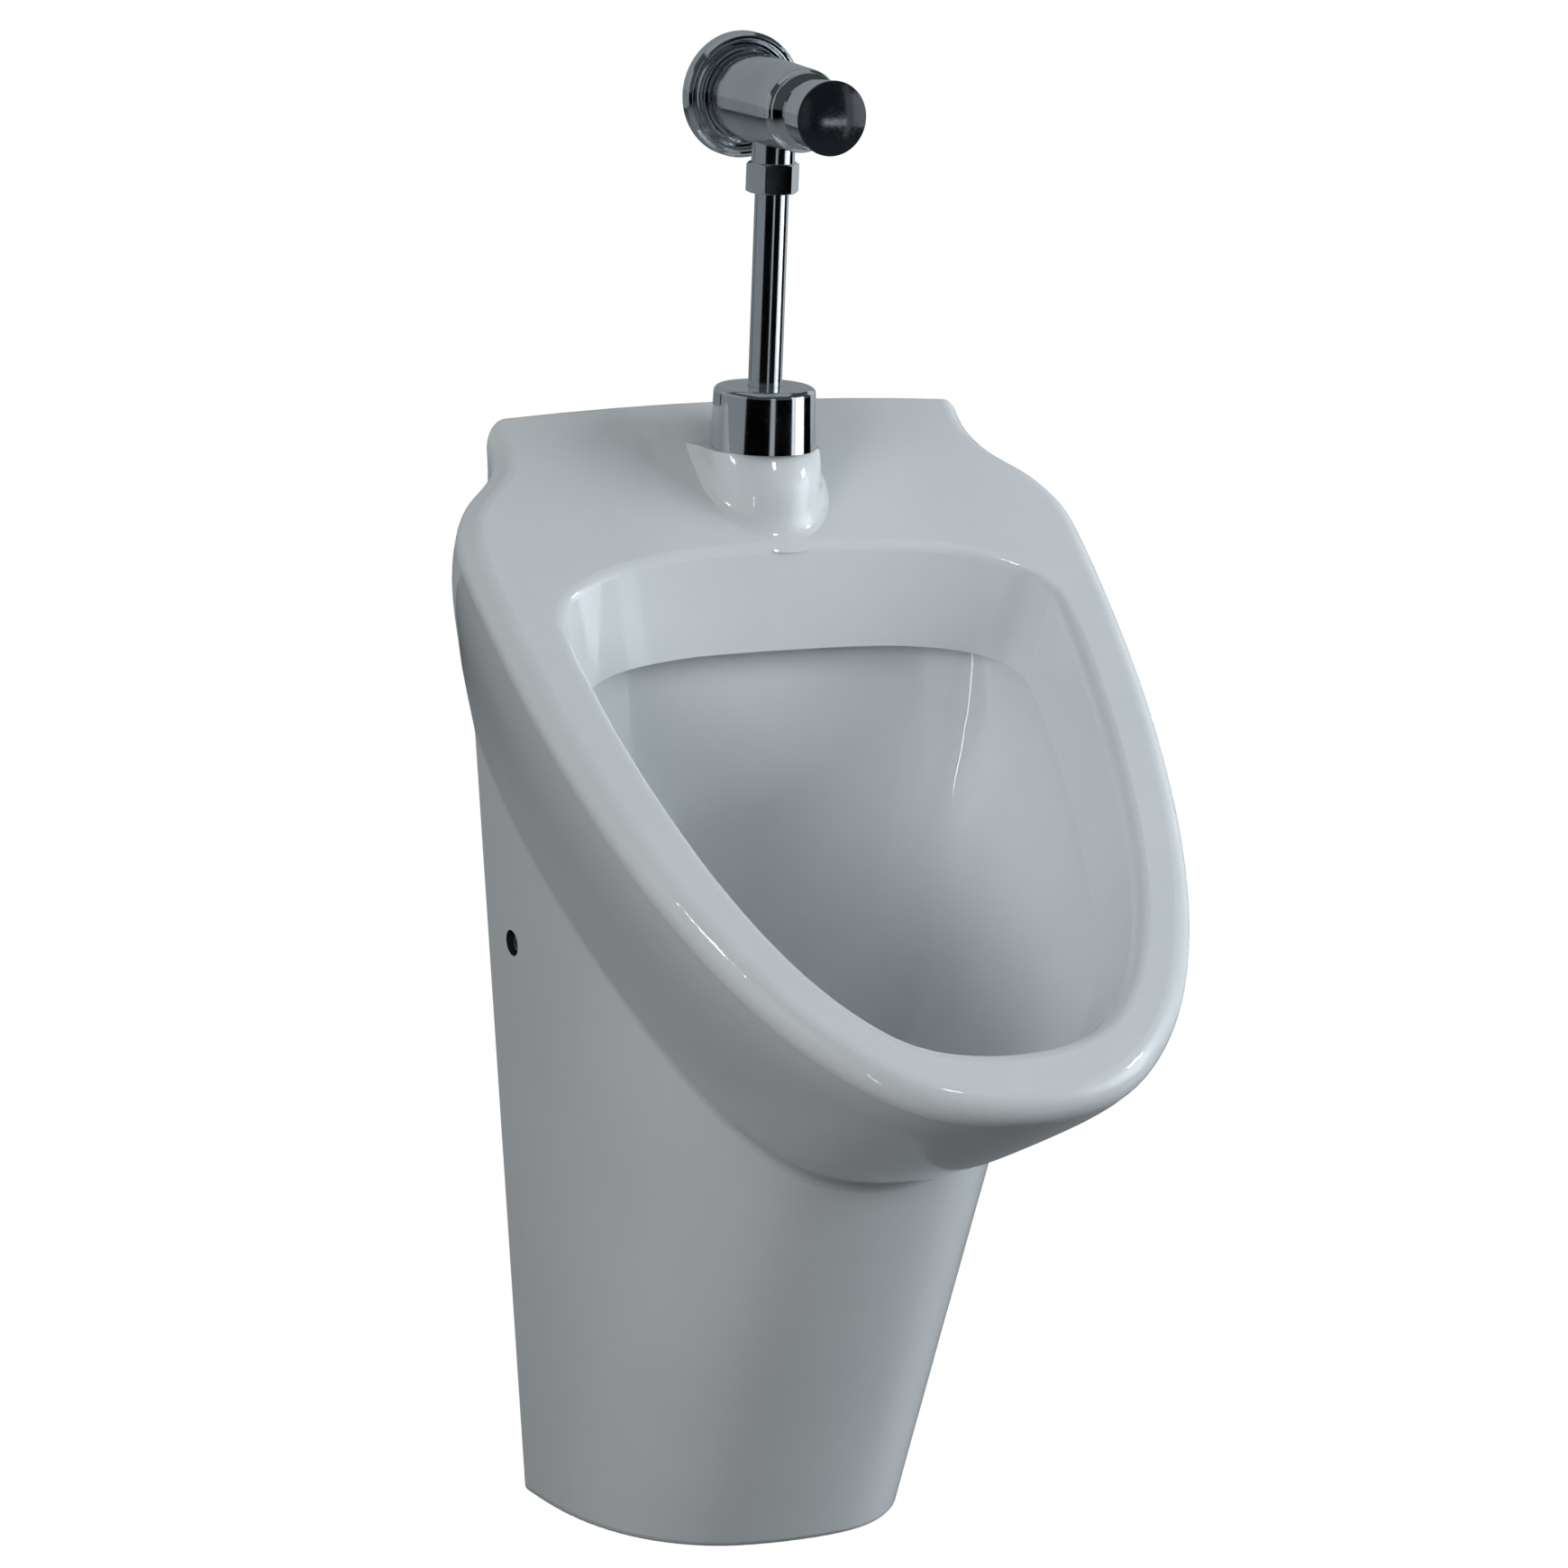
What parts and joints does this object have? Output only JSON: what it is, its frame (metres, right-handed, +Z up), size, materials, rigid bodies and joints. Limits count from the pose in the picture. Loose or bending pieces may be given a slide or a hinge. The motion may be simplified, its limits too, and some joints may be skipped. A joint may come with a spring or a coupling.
{
  "type": "wall-hung urinal",
  "caption": "Wall-hung china urinal with a sloping rim and skirt, an exposed push-button flush valve, flush pipe, strainer and bottle trap.",
  "frame": {"origin": "on the wall plane, midway between the four hanger screw holes", "axes": "+Z up, +Y into the wall, the bowl faces -Y, +X to the right of someone facing it"},
  "size_m": [0.363, 0.4193, 0.7995],
  "materials": {
    "china": "white gloss glaze",
    "chrome": "polished chrome plate",
    "polished_steel": "polished stainless steel",
    "galvanised_steel": "zinc plated sheet",
    "brass": "turned brass",
    "black_plastic": "black gloss moulding",
    "white_plastic": "white satin moulding",
    "rubber": "moulded black rubber"
  },
  "bodies": {
    "urinal": {"ceramic_body": "china", "flush_pipe": "chrome", "inlet_cap": "chrome", "outlet_nut": "chrome", "wall_flange": "chrome", "valve_body": "chrome", "head_nut": "chrome", "waste_flange": "chrome", "strainer": "polished_steel", "strainer_screw": "polished_steel", "side_screws": "polished_steel", "return_spring": "polished_steel", "inlet_filter": "polished_steel", "hanger_bracket_left": "galvanised_steel", "hanger_bracket_right": "galvanised_steel", "side_bracket_left": "galvanised_steel", "side_bracket_right": "galvanised_steel", "valve_seat": "brass", "side_washers": "white_plastic", "stem_guide": "white_plastic", "waste_backnut": "white_plastic", "trap_coupling_nut": "white_plastic", "trap_body": "white_plastic", "trap_dip_tube": "white_plastic", "trap_cup": "white_plastic", "trap_outlet_nut": "white_plastic", "trap_outlet_pipe": "white_plastic", "inlet_connector": "rubber", "outlet_ferrule": "rubber", "flange_gasket": "rubber", "guide_oring": "rubber", "waste_gasket": "rubber", "spigot_gasket": "rubber", "trap_inlet_seal": "rubber", "trap_cup_seal": "rubber", "trap_outlet_seal": "rubber"},
    "button": {"push_button": "black_plastic", "button_sleeve": "chrome", "valve_stem": "polished_steel", "valve_disc": "brass", "disc_washer": "rubber"}
  },
  "joints": [
    {"name": "button_push", "type": "slide", "parent": "urinal", "child": "button", "axis": [0, 1, 0], "range_m": [0, 0.006], "stiffness_N_per_m": 2000, "springref_m": -0.006, "deforming": ["return_spring"]}
  ]
}
